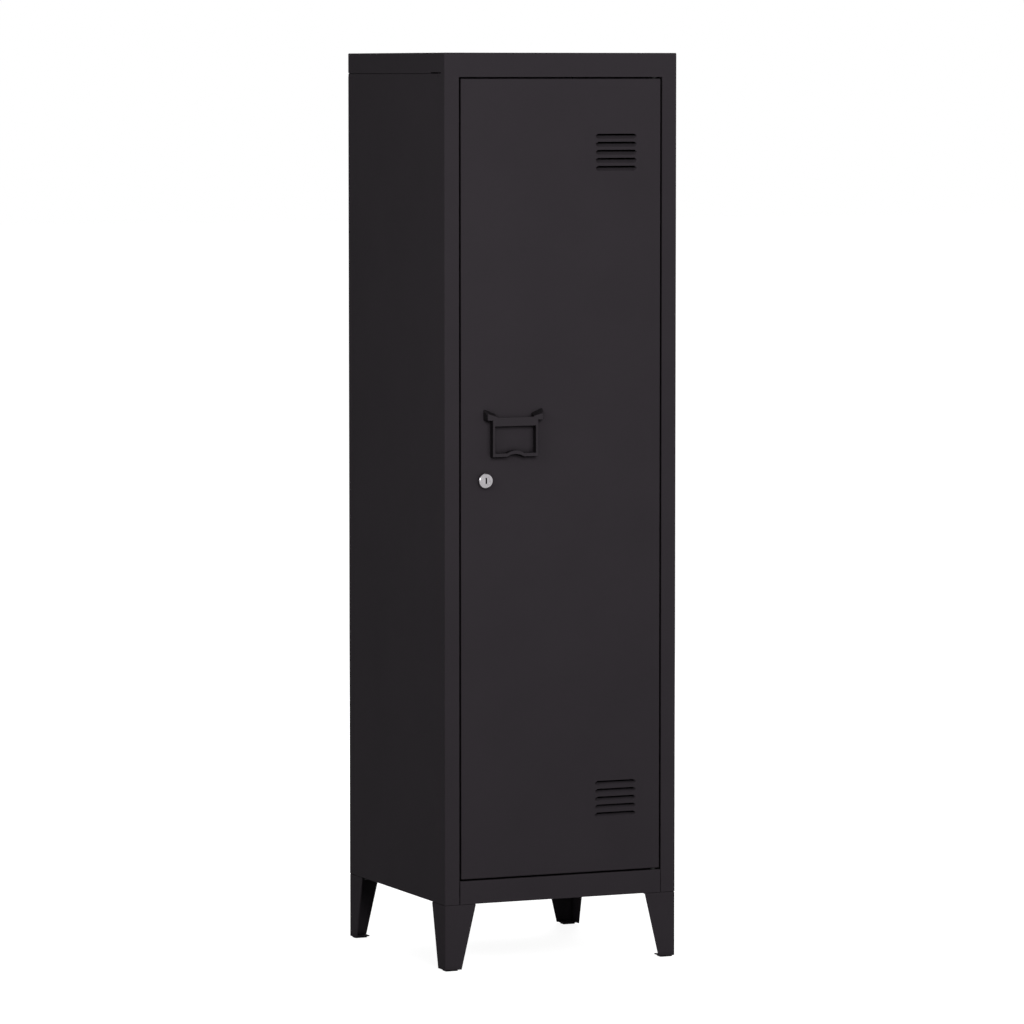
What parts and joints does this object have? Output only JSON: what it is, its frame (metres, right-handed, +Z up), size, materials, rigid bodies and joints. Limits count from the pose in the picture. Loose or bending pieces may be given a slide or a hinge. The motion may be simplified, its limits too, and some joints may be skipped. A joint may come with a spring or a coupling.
{
  "type": "storage cabinet",
  "caption": "Tall, narrow sheet-steel storage cabinet with a flush locking door, card-holder pull, pressed air slits, hung shelves and tapered legs.",
  "frame": {"origin": "on the floor, under the middle of the carcass", "axes": "+Z up, -Y out of the door's front face, +X to the right as seen from the front"},
  "size_m": [0.38, 0.3924, 1.372],
  "materials": {
    "powder_coat": "fine-textured matte black powder coat",
    "pull_moulding": "satin black moulding",
    "lock_chrome": "satin chrome plate",
    "zinc_steel": "bright zinc plate",
    "black_oxide_steel": "black oxide",
    "nylon": "black nylon",
    "rubber": "soft black rubber"
  },
  "bodies": {
    "carcass": {"left_side_panel": "powder_coat", "right_side_panel": "powder_coat", "back_panel": "powder_coat", "top_panel": "powder_coat", "bottom_panel": "powder_coat", "front_left_leg": "powder_coat", "front_right_leg": "powder_coat", "rear_left_leg": "powder_coat", "rear_right_leg": "powder_coat", "front_left_upright": "powder_coat", "front_right_upright": "powder_coat", "rear_left_upright": "powder_coat", "rear_right_upright": "powder_coat", "foot_pads": "nylon", "lower_shelf": "powder_coat", "middle_shelf": "powder_coat", "upper_shelf": "powder_coat", "shelf_clips": "zinc_steel", "top_hinge_bush": "nylon", "bottom_hinge_bush": "nylon", "top_screws": "black_oxide_steel", "back_screws": "black_oxide_steel", "leg_bolts": "black_oxide_steel", "leg_nuts": "black_oxide_steel", "door_buffers": "rubber"},
    "door": {"door_panel": "powder_coat", "door_stiffener": "powder_coat", "door_handle": "pull_moulding", "handle_screws": "zinc_steel", "top_hinge_plate": "black_oxide_steel", "bottom_hinge_plate": "black_oxide_steel", "top_hinge_pin": "black_oxide_steel", "bottom_hinge_pin": "black_oxide_steel", "hinge_washer": "nylon", "lock_body": "lock_chrome", "lock_nut": "zinc_steel"},
    "lock": {"lock_plug": "lock_chrome", "lock_cam": "zinc_steel", "cam_screw": "zinc_steel"}
  },
  "joints": [
    {"name": "door_hinge", "type": "hinge", "parent": "carcass", "child": "door", "pos_m": [0.1545, -0.184, 0.7355], "axis": [0, 0, 1], "range_deg": [0, 110]},
    {"name": "lock_turn", "type": "hinge", "parent": "door", "child": "lock", "pos_m": [-0.125, -0.184, 0.7355], "axis": [0, 1, 0], "range_deg": [0, 90]}
  ]
}
